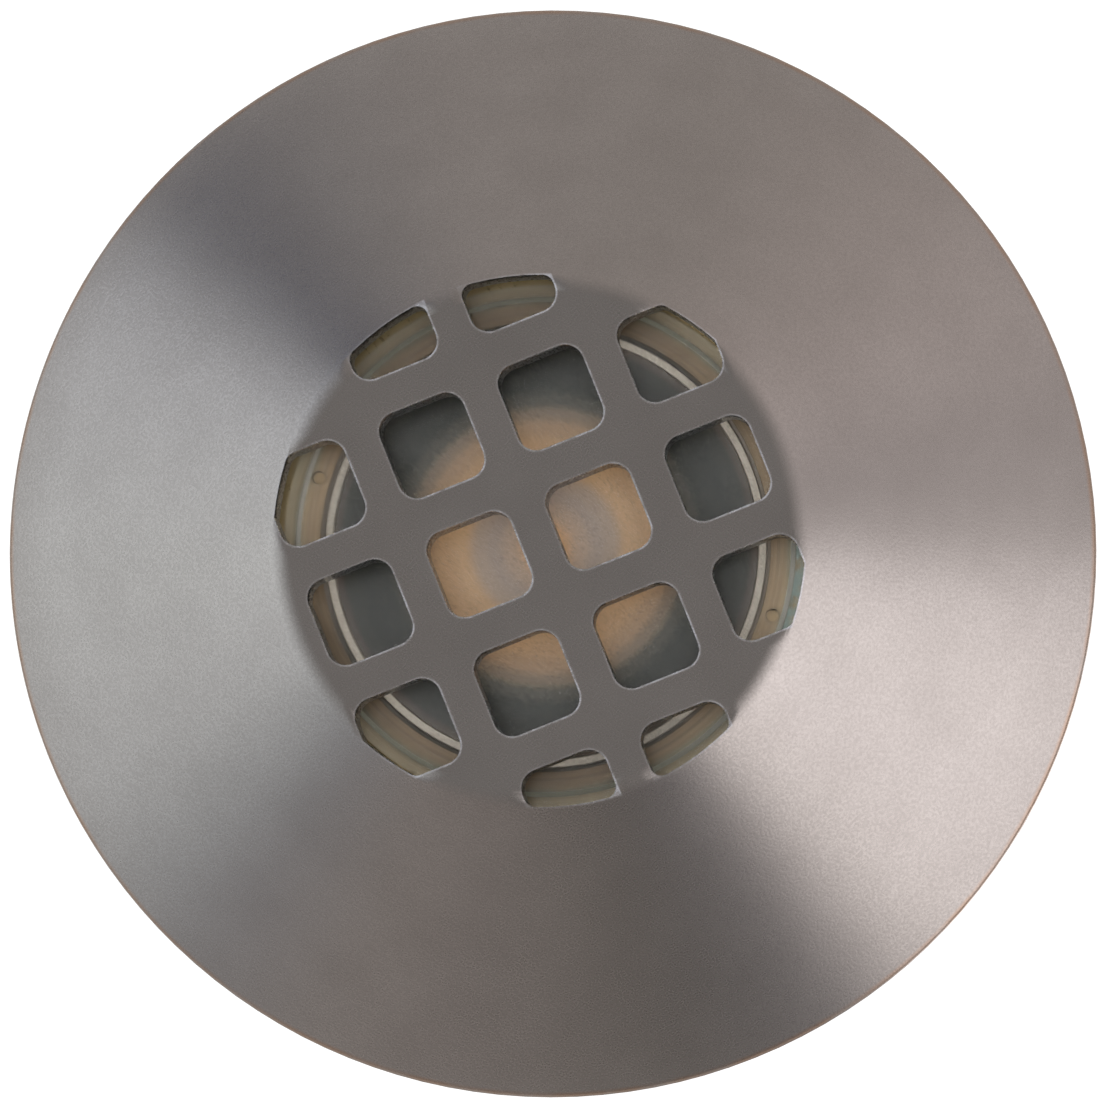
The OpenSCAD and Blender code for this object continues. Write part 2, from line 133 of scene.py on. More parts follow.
def add(tree, kind, inputs=None, stops=None, **settings):
    """Adds a node. inputs goes to feed, and stops lists a colour ramp's (place, colour)."""
    node = tree.nodes.new(kind)
    for name, value in settings.items():
        setattr(node, name, value)
    feed(tree, node, inputs or {})
    for i, (place, colour) in enumerate(stops or []):
        ramp = node.color_ramp.elements
        element = ramp[i] if i < len(ramp) else ramp.new(place)
        element.position = place
        element.color = srgb(colour)
    return node


def object_place(tree):
    """A point's place in the piece's own coordinates."""
    return add(tree, "ShaderNodeTexCoord").outputs["Object"]


def new_material(name):
    """A material with nothing in its tree but a Principled shader. Returns the material, its tree, the
    shader and the piece's own coordinates."""
    material = bpy.data.materials.new(name)
    material.use_nodes = True
    tree = material.node_tree
    tree.nodes.clear()
    shader = add(tree, "ShaderNodeBsdfPrincipled")
    output = add(tree, "ShaderNodeOutputMaterial", {"Surface": shader.outputs[0]})
    output.name = "Output"
    return material, tree, shader, object_place(tree)


def calc(tree, operation, *values):
    """A number worked out from one or more others."""
    return add(tree, "ShaderNodeMath", dict(enumerate(values)), operation=operation).outputs[0]


def times(tree, a, b):
    """The product of two numbers."""
    return calc(tree, "MULTIPLY", a, b)


def larger(tree, a, b):
    """The larger of two numbers."""
    return calc(tree, "MAXIMUM", a, b)


def unsigned(tree, value):
    """A number without its sign."""
    return calc(tree, "ABSOLUTE", value)


def from_half(tree, value):
    """How far a number's fraction lies above or below a half."""
    return calc(tree, "ADD", calc(tree, "FRACT", value), -0.5)


def ranged(tree, value, low, high, to_low=0.0, to_high=1.0, kind="LINEAR"):
    """A value between low and high, carried to between to_low and to_high."""
    made = add(tree, "ShaderNodeMapRange",
               {"Value": value, "From Min": low, "From Max": high, "To Min": to_low, "To Max": to_high},
               interpolation_type=kind)
    return made.outputs[0]


def spread(tree, lumps, to_low=0.0, to_high=1.0):
    """Noise, carried to between to_low and to_high."""
    return ranged(tree, lumps, NOISE_LOW, NOISE_HIGH, to_low, to_high)


# A mix node's sockets go by number, because each name stands once for every kind of value

def mixed(tree, share, a, b, blend="MIX"):
    """Colour a where share is 0, and where it is 1 colour b, or a and b multiplied."""
    return add(tree, "ShaderNodeMix", {0: share, 6: a, 7: b}, data_type="RGBA", blend_type=blend).outputs[2]


def between(tree, share, a, b):
    """Number a where share is 0 and number b where it is 1."""
    return add(tree, "ShaderNodeMix", {0: share, 2: a, 3: b}).outputs[0]


def parts_of(tree, place):
    """The x, y and z of a place."""
    return add(tree, "ShaderNodeSeparateXYZ", {0: place}).outputs


def joined(tree, *values):
    """A vector from up to three numbers, the rest being 0."""
    return add(tree, "ShaderNodeCombineXYZ", dict(enumerate(values))).outputs[0]


def vector_calc(tree, operation, *values):
    """A vector worked out from one or more others, or a number for the operations that measure."""
    made = add(tree, "ShaderNodeVectorMath", dict(enumerate(values)), operation=operation)
    return made.outputs["Value" if operation in MEASURES else "Vector"]


def turned_back(tree, place, turn):
    """A place turned back about the vertical axis, in degrees."""
    return add(tree, "ShaderNodeVectorRotate", {0: place, "Angle": -math.radians(turn)},
               rotation_type="Z_AXIS").outputs[0]


def levelled(tree, place):
    """A place with its height taken off."""
    return vector_calc(tree, "MULTIPLY", place, (1, 1, 0))


def radius(tree, place):
    """Distance from the light's vertical axis."""
    return vector_calc(tree, "LENGTH", levelled(tree, place))


def noise(tree, place, grain, detail=2.0, rough=0.5):
    """Noise with lumps about grain metres across."""
    made = add(tree, "ShaderNodeTexNoise",
               {"Vector": place, "Scale": 1 / grain, "Detail": detail, "Roughness": rough})
    return made.outputs["Fac"]


def bump(tree, shader, height, depth):
    """Bumps depth metres high from a height between 0 and 1."""
    made = add(tree, "ShaderNodeBump", {"Height": height, "Distance": depth, "Strength": 1.0})
    feed(tree, shader, {"Normal": made.outputs[0]})


# Materials

def round_cells(tree, place):
    """Distance outside the nearest cell of the louver, and a number that grows towards the cell's lower right
    side. The distance is how far the local coordinates lie beyond the inner square, less the corner radius,
    or how far the place lies beyond the circle that trims the cells."""
    across, along, _ = parts_of(tree, turned_back(tree, place, GRID_TURN))
    beyond, signed = [], []
    # Columns stand half a pitch off the middle, and rows on it
    for value, shift in ((across, 0.0), (along, 0.5)):
        local = from_half(tree, calc(tree, "MULTIPLY_ADD", value, 1 / GRID_PITCH, shift))
        signed.append(local)
        out = calc(tree, "MULTIPLY_ADD", unsigned(tree, local), GRID_PITCH, CELL_CORNER - CELL_HALF)
        beyond.append(larger(tree, out, 0))
    off_cell = calc(tree, "ADD", radius(tree, joined(tree, *beyond)), -CELL_CORNER)
    off_disc = calc(tree, "ADD", radius(tree, place), -CELLS_R)
    # The grid's four corner cells, which would only graze the circle, are left out
    missing = 1.0
    for value, limit in ((across, GRID_PITCH), (along, 1.5 * GRID_PITCH)):
        missing = times(tree, missing, calc(tree, "GREATER_THAN", unsigned(tree, value), limit))
    off = calc(tree, "ADD", larger(tree, off_cell, off_disc), missing)
    return off, calc(tree, "SUBTRACT", *signed)


def gunmetal_brass():
    """Cast brass, bead blasted and darkened to gunmetal: satin, warm grey, with a fine even grain. It is
    rubbed back to a browner metal along the edge of the foot. The cells' walls are painted darker as painted
    shade, and a pale painted highlight runs round the edge of each cell, strongest on its lower right side."""
    material, tree, shader, place = new_material("gunmetal_brass")
    r = radius(tree, place)
    z = parts_of(tree, place)[2]
    body = mixed(tree, spread(tree, noise(tree, place, 7 * MM, 4)), srgb("#aaa39f"), srgb("#b1aaa6"))
    # Blasting leaves pits of about 0.1 mm; they are drawn 0.3 mm wide, so that they show
    grain = noise(tree, place, 0.3 * MM, 1, 0.5)
    body = mixed(tree, spread(tree, grain, 0.05, 0.3), body, srgb("#8f8884"))
    at_edge = times(tree, ranged(tree, r, COVER_R - 0.62 * MM, COVER_R - 0.28 * MM),
                    ranged(tree, z, BAND_TOP - 1.3 * MM, BAND_TOP - 0.5 * MM))
    worn = times(tree, at_edge, ranged(tree, noise(tree, place, 5 * MM, 3), 0.35, 0.6, 0.3, 0.7))
    body = mixed(tree, worn, body, srgb("#ae8f79"))
    # The cell walls are painted darker, as painted shade in the cells' recesses
    in_cells = times(tree, ranged(tree, r, CELLS_R + 0.02 * MM, CELLS_R + 0.1 * MM, 1, 0),
                     ranged(tree, z, COVER_TOP - 0.75 * MM, COVER_TOP - 0.5 * MM, 1, 0))
    cell_wall_shade = spread(tree, noise(tree, place, 1.5 * MM, 3), 0.8, 1)
    body = mixed(tree, times(tree, in_cells, cell_wall_shade), body, srgb("#4b4a4d"))
    off, lower_right = round_cells(tree, place)
    # A pale, dull painted highlight along each cell's edge on the top, patchy and strongest on the cell's
    # lower right side
    line = times(tree, ranged(tree, off, 0.1 * MM, 0.24 * MM, 1, 0, "SMOOTHSTEP"),
                 ranged(tree, z, COVER_TOP - 0.7 * MM, COVER_TOP - 0.4 * MM))
    line = times(tree, line, ranged(tree, noise(tree, place, 1.1 * MM, 3, 0.7), 0.35, 0.6, 0.25, 0.75))
    line = times(tree, line, ranged(tree, lower_right, -0.3, 0.4, 0.2, 1))
    feed(tree, shader, {"Base Color": mixed(tree, line, body, srgb("#bcbec6")),
                        "Metallic": ranged(tree, line, 0, 1, 1, 0.6),
                        "Roughness": spread(tree, grain, 0.25, 0.31)})
    bump(tree, shader, grain, 0.0075 * MM)
    return material


def rubbed_and_highlit_brass():
    """The cover's rounded sharp edges: round each cell a patchy, pale, dull tone that is a painted highlight,
    and round the foot browner metal where the dark finish is rubbed thin and patchy."""
    material, tree, shader, place = new_material("rubbed_and_highlit_brass")
    z = parts_of(tree, place)[2]
    patchy = ranged(tree, noise(tree, place, 0.9 * MM, 3, 0.7), 0.38, 0.62)
    at_foot = ranged(tree, z, BAND_TOP + 0.5 * MM, BAND_TOP + 2 * MM, 1, 0)
    tone = mixed(tree, at_foot, mixed(tree, patchy, srgb("#8f9094"), srgb("#c9cbd0")),
                 mixed(tree, patchy, srgb("#96877c"), srgb("#a8917f")))
    feed(tree, shader, {"Base Color": tone, "Metallic": ranged(tree, at_foot, 0, 1, 0.4, 0.9),
                        "Roughness": ranged(tree, patchy, 0, 1, 0.45, 0.3)})
    return material


def glints(tree, flat):
    """How far a place lies in the two wedges of painted highlight on the lamp ring, set where turning marks
    would catch the light.
    """
    outward = vector_calc(tree, "NORMALIZE", flat)
    glint_share = 0
    for bearing, foot, crest in GLINTS:
        along = vector_calc(tree, "DOT_PRODUCT", outward, spot(bearing, 1))
        foot, crest = math.cos(math.radians(foot)), math.cos(math.radians(crest))
        glint_share = larger(tree, glint_share, ranged(tree, along, foot, crest, kind="SMOOTHSTEP"))
    return glint_share


def spanner_holes(tree, flat):
    """How far a place lies in the darker rims round the lamp ring's two spanner holes, and in the holes'
    bottoms, which are painted lighter as painted light against the shade in them.
    """
    hole_rims, lit_hole_floors = 0, 0
    for side in (1, -1):
        away = vector_calc(tree, "DISTANCE", flat, spot(SPANNER_TURN, side * SPANNER_R))
        hole_rims = larger(tree, hole_rims, ranged(tree, away, 0.6 * MM, 1.0 * MM, 0.4, 0, "SMOOTHSTEP"))
        lit_hole_floors = larger(tree, lit_hole_floors, ranged(tree, away, 0.55 * MM, 0.66 * MM, 1, 0))
    return hole_rims, lit_hole_floors


def turned_brass():
    """Brass turned on a lathe and tarnished in rings: brown, tan and olive bands with fine tool marks,
    lighter towards the outer edge as painted light against the shade there. Two wedges hold a painted
    highlight and the rest of the ring is painted in shade. The step's edge is painted pale, partly as rubbed
    metal and partly as painted highlight, the chamfer at the bore is painted dark as shade, the spanner holes
    have darker rims and bottoms painted lighter against their shade, and a few pale bluish-green patches lie
    outside the step on the lower right."""
    material, tree, shader, place = new_material("turned_brass")
    r = radius(tree, place)
    x, _, z = parts_of(tree, place)
    rings = joined(tree, r)
    coarse = noise(tree, rings, 0.7 * MM, 3, 0.7)
    fine = noise(tree, rings, 0.16 * MM, 2, 0.6)
    sway = spread(tree, noise(tree, place, 9 * MM, 3), -0.3 * MM, 0.3 * MM)
    # The bands are the ring's tarnish; towards the outer edge their stops are lighter, as painted light
    # against the shade under the cover's edge
    bands = add(tree, "ShaderNodeValToRGB", {0: ranged(tree, calc(tree, "ADD", r, sway), BORE_R, RING_R)},
                [(0.0, "#6a604f"), (0.08, "#846f57"), (0.22, "#a18569"), (0.34, "#8f7760"),
                 (0.42, "#a98f72"), (0.50, "#97846a"), (0.56, "#7f7c6b"), (0.62, "#96907a"),
                 (0.68, "#7c7967"), (0.78, "#aa9c83"), (0.9, "#b5a88f"), (1.0, "#c4b89e")])
    streaks = mixed(tree, ranged(tree, coarse, 0.35, 0.65, 0, 0.6), bands.outputs[0], srgb("#70604b"))
    streaks = mixed(tree, ranged(tree, fine, 0.4, 0.7, 0, 0.45), streaks, srgb("#c5b292"))
    flat = levelled(tree, place)
    glint_share = glints(tree, flat)
    outside = ranged(tree, r, STEP_R, STEP_R + 0.1 * MM)
    # Outside the wedges the bands are painted in shade, darker inside the step than outside it; inside them
    # they keep their full painted highlight
    shade = mixed(tree, outside, (0.58, 0.57, 0.57, 1), (0.8, 0.78, 0.77, 1))
    streaks = mixed(tree, glint_share, mixed(tree, 1.0, streaks, shade, "MULTIPLY"), streaks)
    # The step's edge is painted pale, partly as rubbed metal and partly as painted highlight that offsets the
    # shade on it, brightest in the wedges
    blur = 0.06 * MM
    on_edge = times(tree, ranged(tree, r, STEP_R - PALE_EDGE_W, STEP_R - PALE_EDGE_W + blur),
                    ranged(tree, z, RING_TOP - PALE_EDGE_W, RING_TOP - PALE_EDGE_W + blur))
    tone = mixed(tree, on_edge, streaks, mixed(tree, glint_share, srgb("#bdbba8"), srgb("#f0ebe0")))
    # The chamfer at the bore is painted dark as shade, and lighter in the wedges as painted highlight
    chamfer_end = BORE_R + CHAMFER_W
    on_chamfer = ranged(tree, r, chamfer_end - 0.04 * MM, chamfer_end + 0.02 * MM, 1, 0)
    tone = mixed(tree, on_chamfer, tone, mixed(tree, glint_share, srgb("#6b655c"), srgb("#a3978a")))
    # Pale bluish-green patches outside the step, on the lower right, duller than the brass
    lower_right = ranged(tree, x, 18 * MM, 25 * MM)
    blotch = ranged(tree, noise(tree, place, 1.6 * MM, 4, 0.65), 0.42, 0.56)
    green = times(tree, times(tree, blotch, outside), times(tree, lower_right, 0.8))
    tone = mixed(tree, green, tone, srgb("#94a8a4"))
    # The spanner holes get darker rims, and their bottoms are painted lighter as painted light against the
    # shade in them
    hole_rims, lit_hole_floors = spanner_holes(tree, flat)
    tone = mixed(tree, hole_rims, tone, srgb("#4a4239"))
    tone = mixed(tree, lit_hole_floors, tone, srgb("#ab9270"))
    dull = larger(tree, larger(tree, on_edge, on_chamfer), green)
    feed(tree, shader, {"Base Color": tone, "Metallic": ranged(tree, dull, 0, 1, 0.5, 0.05),
                        "Roughness": spread(tree, fine, 0.28, 0.48)})
    bump(tree, shader, fine, 0.02 * MM)
    return material


def cast_brass():
    """Sand-cast brass left raw: yellow brown, with a pebbly skin. The rim, the top of the lamp well and the
    underside are faced on a lathe, so they are brighter, with fine rings."""
    material, tree, shader, place = new_material("cast_brass")
    skin = noise(tree, place, 0.7 * MM, 4, 0.6)
    stain = ranged(tree, noise(tree, place, 12 * MM, 5), 0.35, 0.7)
    z = parts_of(tree, place)[2]
    rings = noise(tree, joined(tree, radius(tree, place)), 0.9 * MM, 2, 0.5)
    upward = parts_of(tree, add(tree, "ShaderNodeNewGeometry").outputs["Normal"])[2]
    level = ranged(tree, unsigned(tree, upward), 0.9, 0.95)
    near, far = 0.05 * MM, 0.15 * MM
    faced = ranged(tree, z, near, far, 1, 0)
    for height in (RIM_TOP, WELL_TOP):
        off = unsigned(tree, calc(tree, "ADD", z, -height))
        faced = larger(tree, faced, ranged(tree, off, near, far, 1, 0))
    faced = times(tree, faced, level)
    cast = mixed(tree, stain, srgb("#b09468"), srgb("#86693f"))
    lathed = mixed(tree, rings, srgb("#b09a70"), srgb("#c6b086"))
    lathed = mixed(tree, times(tree, stain, 0.3), lathed, srgb("#94805e"))
    rough = calc(tree, "MULTIPLY_ADD", faced, -0.18, spread(tree, skin, 0.42, 0.62))
    feed(tree, shader, {"Base Color": mixed(tree, faced, cast, lathed), "Metallic": 1.0, "Roughness": rough})
    bump(tree, shader, between(tree, faced, skin, times(tree, rings, 0.2)), 0.06 * MM)
    return material


def circuit_board():
    """Green solder mask over copper tracks that run round the board and across it, where a random choice
    among the board's fields lays one."""
    material, tree, shader, place = new_material("green_solder_mask")
    r = radius(tree, place)
    x, y, _ = parts_of(tree, place)
    bearing = calc(tree, "ARCTAN2", y, x)
    tracks = 0
    # What is counted along a track and across it, a field's length and the tracks' pitch
    round_board = (bearing, r, math.radians(9), 1.3 * MM)
    across_board = (r, bearing, 4 * MM, 0.045)
    for along, across, length, pitch in (round_board, across_board):
        lane = calc(tree, "DIVIDE", across, pitch)
        field = calc(tree, "DIVIDE", along, length)
        cell = vector_calc(tree, "FLOOR", joined(tree, lane, field))
        chosen = add(tree, "ShaderNodeTexWhiteNoise", {"Vector": cell}).outputs["Value"]
        off = unsigned(tree, from_half(tree, lane))
        laid = times(tree, ranged(tree, off, 0.17, 0.21, 1, 0), ranged(tree, chosen, 0.62, 0.63))
        tracks = larger(tree, tracks, laid)
    weave = noise(tree, place, 0.6 * MM, 3, 0.6)
    mask = mixed(tree, weave, srgb("#1f5a38"), srgb("#184a2d"))
    feed(tree, shader, {"Base Color": mixed(tree, tracks, mask, srgb("#2f6b43")),
                        "Roughness": spread(tree, weave, 0.26, 0.38), "Coat Weight": 0.3})
    bump(tree, shader, tracks, 0.035 * MM)
    return material


def can_aluminium():
    """Drawn aluminium cans with a scored cross and a dark half on top that marks the poles, on black feet."""
    material = metal("can_aluminium", ("#c6c8cb", "#b7b9bd"), 0.3, 0.3 * MM, 0.004 * MM)
    tree = material.node_tree
    shader = tree.nodes["Principled BSDF"]
    plain = shader.inputs["Base Color"].links[0].from_socket
    place = object_place(tree)
    z = parts_of(tree, place)[2]
    on_top = ranged(tree, z, CANS_TOP - 0.1 * MM, CANS_TOP - 0.05 * MM)
    score, pole = 0, 0
    for turn in CAN_TURNS:
        away = vector_calc(tree, "SUBTRACT", place, spot(turn, CANS_AT_R))
        near = ranged(tree, radius(tree, away), CAN_R - 0.45 * MM, CAN_R - 0.4 * MM, 1, 0)
        outward, sideways, _ = parts_of(tree, turned_back(tree, away, turn))
        for line in (outward, sideways):
            cut = times(tree, near, ranged(tree, unsigned(tree, line), 0.06 * MM, 0.1 * MM, 1, 0))
            score = larger(tree, score, cut)
        pole = larger(tree, pole, times(tree, near, ranged(tree, outward, 1.1 * MM, 1.15 * MM)))
    tone = mixed(tree, times(tree, on_top, score), plain, srgb("#6d6f72"))
    tone = mixed(tree, times(tree, on_top, pole), tone, srgb("#26262a"))
    foot = ranged(tree, z, BOARD_TOP + 0.84 * MM, BOARD_TOP + 0.88 * MM, 1, 0)
    feed(tree, shader, {"Base Color": mixed(tree, foot, tone, srgb("#1d1d1f")),
                        "Metallic": ranged(tree, foot, 0, 1, 1, 0)})
    return material


def machined_brass():
    """Bar brass machined and left bright, as gland parts are."""
    material, tree, shader, place = new_material("machined_brass")
    wear = noise(tree, place, 1.2 * MM, 4, 0.6)
    feed(tree, shader, {"Base Color": mixed(tree, wear, srgb("#c2a163"), srgb("#a88750")),
                        "Metallic": 1.0, "Roughness": spread(tree, wear, 0.22, 0.36)})
    bump(tree, shader, noise(tree, place, 0.2 * MM), 0.006 * MM)
    return material


def stainless_steel():
    """Stainless screw steel: cool, bright and faintly brushed by the die."""
    material, tree, shader, place = new_material("stainless_steel")
    drawn = noise(tree, place, 0.35 * MM, 3, 0.6)
    feed(tree, shader, {"Base Color": mixed(tree, drawn, srgb("#c9c8c6"), srgb("#a5a4a3")),
                        "Metallic": 1.0, "Roughness": spread(tree, drawn, 0.24, 0.38)})
    return material


def tempered_glass():
    """Clear float glass, tempered: a trace of green, polished faces."""
    material, tree, shader, place = new_material("tempered_glass")
    smear = noise(tree, place, 8 * MM, 3)
    feed(tree, shader, {"Base Color": srgb("#f3f7f5"), "Roughness": ranged(tree, smear, 0.3, 0.8, 0.02, 0.08),
                        "Transmission Weight": 1.0, "IOR": 1.52, "Alpha": 0.25})
    return material


def grained_lens():
    """Moulded acrylic with a finely pebbled face. Its middle shows the phosphor below, spread to a peach
    disc with a greyer core, and the rest shows the dark well."""
    material, tree, shader, place = new_material("grained_lens")
    pebble = noise(tree, place, 0.14 * MM, 2, 0.7)
    shaken = calc(tree, "MULTIPLY_ADD", calc(tree, "ADD", pebble, -0.5), 1.7 * MM, radius(tree, place))
    # The ramp's outermost stops are lighter as painted light, against the shade that the rings cast on the
    # lens's edge
    glow = add(tree, "ShaderNodeValToRGB", {0: ranged(tree, shaken, 0, LENS_R)},
               [(0.07, "#fbc490"), (0.165, "#dab99e"), (0.245, "#c8b09f"), (0.31, "#d0b49d"),
                (0.39, "#efc08e"), (0.48, "#e4b484"), (0.565, "#caa27b"), (0.63, "#998169"),
                (0.69, "#524d41"), (0.76, "#23231c"), (0.86, "#21211c"), (0.95, "#35332c"),
                (1.0, "#6a5a4e")])
    glow.color_ramp.interpolation = "EASE"
    speck = mixed(tree, ranged(tree, pebble, 0.45, 0.7, 0, 0.5), glow.outputs[0], srgb("#262623"))
    speck = mixed(tree, ranged(tree, pebble, 0.5, 0.3, 0, 0.34), speck, srgb("#857f71"))
    feed(tree, shader, {"Base Color": speck, "Roughness": 0.34, "IOR": 1.49})
    bump(tree, shader, pebble, 0.006 * MM)
    return material


def ivory_plastic():
    """Glass-filled nylon, moulded in ivory: satin with faint flow marks, and speckled by its fibres."""
    material, tree, shader, place = new_material("ivory_plastic")
    flow = noise(tree, place, 3 * MM, 4)
    fibres = noise(tree, place, 0.22 * MM, 2, 0.6)
    tone = mixed(tree, flow, srgb("#efe3d3"), srgb("#dfd2c1"))
    tone = mixed(tree, ranged(tree, fibres, 0.42, 0.7, 0, 0.5), tone, srgb("#a3937d"))
    feed(tree, shader, {"Base Color": tone, "Roughness": 0.42})
    bump(tree, shader, noise(tree, place, 0.2 * MM), 0.01 * MM)
    return material


def moulded(name, hexes, roughness, grain, depth, coat=0.0):
    """A moulded or coated surface in two close tones, with a grain of its own size."""
    material, tree, shader, place = new_material(name)
    lumps = noise(tree, place, grain, 3, 0.6)
    drift = spread(tree, noise(tree, place, 14 * grain, 3))
    feed(tree, shader, {"Base Color": mixed(tree, drift, srgb(hexes[0]), srgb(hexes[1])),
                        "Roughness": spread(tree, lumps, roughness - 0.06, roughness + 0.06),
                        "Coat Weight": coat})
    bump(tree, shader, lumps, depth)
    return material


def metal(name, hexes, roughness, grain, depth):
    """A bare metal surface in two close tones."""
    material = moulded(name, hexes, roughness, grain, depth)
    material.node_tree.nodes["Principled BSDF"].inputs["Metallic"].default_value = 1.0
    return material


STEEL = stainless_steel()
TURNED = turned_brass()
MACHINED = machined_brass()
EPDM = moulded("epdm_rubber", ("#262524", "#2f2e2c"), 0.72, 0.3 * MM, 0.02 * MM)
FINISHES = {
    "base": cast_brass(),
    "foam_gasket": moulded("closed_cell_foam", ("#2a2a2b", "#343435"), 0.9, 0.35 * MM, 0.12 * MM),
    "cover": gunmetal_brass(),
    "cover_gasket": EPDM,
    "lock_screw_1": STEEL,
    "lock_screw_2": STEEL,
    "lock_screw_3": STEEL,
    "glass_gasket": moulded("white_silicone", ("#d3d0ca", "#c6c3bc"), 0.55, 0.4 * MM, 0.01 * MM),
    "glass_lens": tempered_glass(),
    "glass_ring": TURNED,
    "lamp_ring": TURNED,
    "lens_holder": ivory_plastic(),
    "beam_lens": grained_lens(),
    "led_phosphor": moulded("phosphor_silicone", ("#e3b366", "#d9a558"), 0.4, 0.15 * MM, 0.01 * MM, 0.3),
    "led_emitter": moulded("alumina_ceramic", ("#e9e7e1", "#dedbd4"), 0.5, 0.2 * MM, 0.005 * MM),
    "led_board": moulded("white_solder_mask", ("#e6e5df", "#dad9d2"), 0.35, 0.5 * MM, 0.004 * MM, 0.2),
    "thermal_pad": moulded("filled_silicone", ("#8693a5", "#7a8799"), 0.8, 0.3 * MM, 0.02 * MM),
    "led_board_screws": STEEL,
    "led_leads": moulded("pvc_insulation", ("#a52a22", "#942119"), 0.38, 0.5 * MM, 0.004 * MM, 0.1),
    "lead_grommet": EPDM,
    "driver_board": circuit_board(),
    "driver_board_screws": STEEL,
    "terminal_block": moulded("green_nylon", ("#3d8a5b", "#35794f"), 0.45, 0.25 * MM, 0.008 * MM),
    "terminal_screws": STEEL,
    "inductor": moulded("ferrite", ("#4b4a4c", "#3d3c3e"), 0.6, 0.2 * MM, 0.02 * MM),
    "capacitors": can_aluminium(),
    "rectifier": moulded("black_epoxy", ("#1c1c1e", "#232325"), 0.5, 0.15 * MM, 0.006 * MM),
    "gland_body": MACHINED,
    "gland_washer": EPDM,
    "gland_seal": EPDM,
    "gland_nut": MACHINED,
}
# Widths of the small nodes' softened edges, in millimetres
SOFT_EDGES = {
    "rectifier": 0.18, "terminal_block": 0.18, "inductor": 0.15, "capacitors": 0.18, "led_emitter": 0.08,
    "gland_nut": 0.15, "gland_body": 0.12, "lock_screw_1": 0.06, "lock_screw_2": 0.06, "lock_screw_3": 0.06,
    "driver_board_screws": 0.1, "terminal_screws": 0.06, "lens_holder": 0.08,
}
WELD_REACH = 0.002 * MM
EDGE_STEPS = 2
# Angle in degrees from which an edge counts as sharp
SHARP_FROM = 28


def paint(piece, material):
    """Gives a piece one material."""
    if piece.data.materials:
        for i in range(len(piece.data.materials)):
            piece.data.materials[i] = material
    else:
        piece.data.materials.append(material)


def soften(node, width, edge_finish=None):
    """Rounds a node's sharp edges by a small width: its loose triangles are welded, then bevelled. The
    rounded strips take a finish of their own where one is given."""
    piece = NODES[node]
    weld = piece.modifiers.new("weld", "WELD")
    weld.merge_threshold = WELD_REACH
    edge = piece.modifiers.new("edge", "BEVEL")
    edge.width = width
    edge.segments = EDGE_STEPS
    edge.limit_method = "ANGLE"
    edge.angle_limit = math.radians(SHARP_FROM)
    edge.harden_normals = True
    edge.miter_outer = "MITER_ARC"
    if edge_finish:
        piece.data.materials.append(edge_finish)
        edge.material = len(piece.data.materials) - 1


for node_name, finish in FINISHES.items():
    paint(NODES[node_name], finish)

soften("cover", 0.2 * MM, rubbed_and_highlit_brass())
for node_name, edge_width in SOFT_EDGES.items():
    soften(node_name, edge_width * MM)


# Small pieces on the driver's board

UP = np.array([0, 0, 1.0])
LEG_T = 0.18 * MM


def new_piece(name, grids, material, body="base_unit"):
    """One piece from closed tubes. Each grid holds rows of points, and a row runs anticlockwise seen from the
    tube's far end; both ends are closed by a flat face."""
    points, faces, base = [], [], 0
    for grid in grids:
        rows, columns = grid.shape[:2]
        number = base + np.arange(rows * columns).reshape(rows, columns)
        after = np.roll(number, -1, axis=1)
        walls = np.stack([number[:-1], after[:-1], after[1:], number[1:]], axis=-1)
        faces += walls.reshape(-1, 4).tolist() + [number[0, ::-1].tolist(), number[-1].tolist()]
        points.append(grid.reshape(-1, 3))
        base += rows * columns
    mesh = bpy.data.meshes.new(name)
    mesh.from_pydata(np.concatenate(points).tolist(), [], faces)
    mesh.polygons.foreach_set("use_smooth", [len(face) == 4 for face in faces])
    piece = bpy.data.objects.new(name, mesh)
    bpy.context.scene.collection.objects.link(piece)
    paint(piece, material)
    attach(piece, body)


def sweep(path, side, half_side, half_thick, square=2.0, columns=12):
    """A bar along a path: a superellipse |u/half_side|^square + |v/half_thick|^square = 1 stands square to
    the path at each point, with u along the side direction."""
    path = np.asarray(path, float)
    along = np.gradient(path, axis=0)
    side = np.broadcast_to(np.asarray(side, float), path.shape)
    thick = np.cross(side, along)
    thick /= np.linalg.norm(thick, axis=1, keepdims=True)
    a = np.linspace(0, 2 * np.pi, columns, endpoint=False)
    u = np.sign(np.sin(a)) * np.abs(np.sin(a)) ** (2 / square) * half_side
    v = np.sign(np.cos(a)) * np.abs(np.cos(a)) ** (2 / square) * half_thick
    return path[:, None] + u[None, :, None] * side[:, None] + v[None, :, None] * thick[:, None]


def revolved(profile, at, columns=20):
    """A solid of revolution about the vertical through a place: rows of (radius, height)."""
    profile = np.asarray(profile, float)
    a = np.linspace(0, 2 * np.pi, columns, endpoint=False)
    ring = np.stack([np.cos(a), np.sin(a), np.zeros(columns)], axis=-1)
    return np.asarray(at) + profile[:, :1, None] * ring + profile[:, 1:, None] * UP


def on_board(turn, r):
    """Directions outward and sideways at a bearing, and the place there on the board."""
    a = math.radians(turn)
    outward = np.array([math.cos(a), math.sin(a), 0])
    sideways = np.array([-math.sin(a), math.cos(a), 0])
    return outward, sideways, outward * r + UP * BOARD_TOP


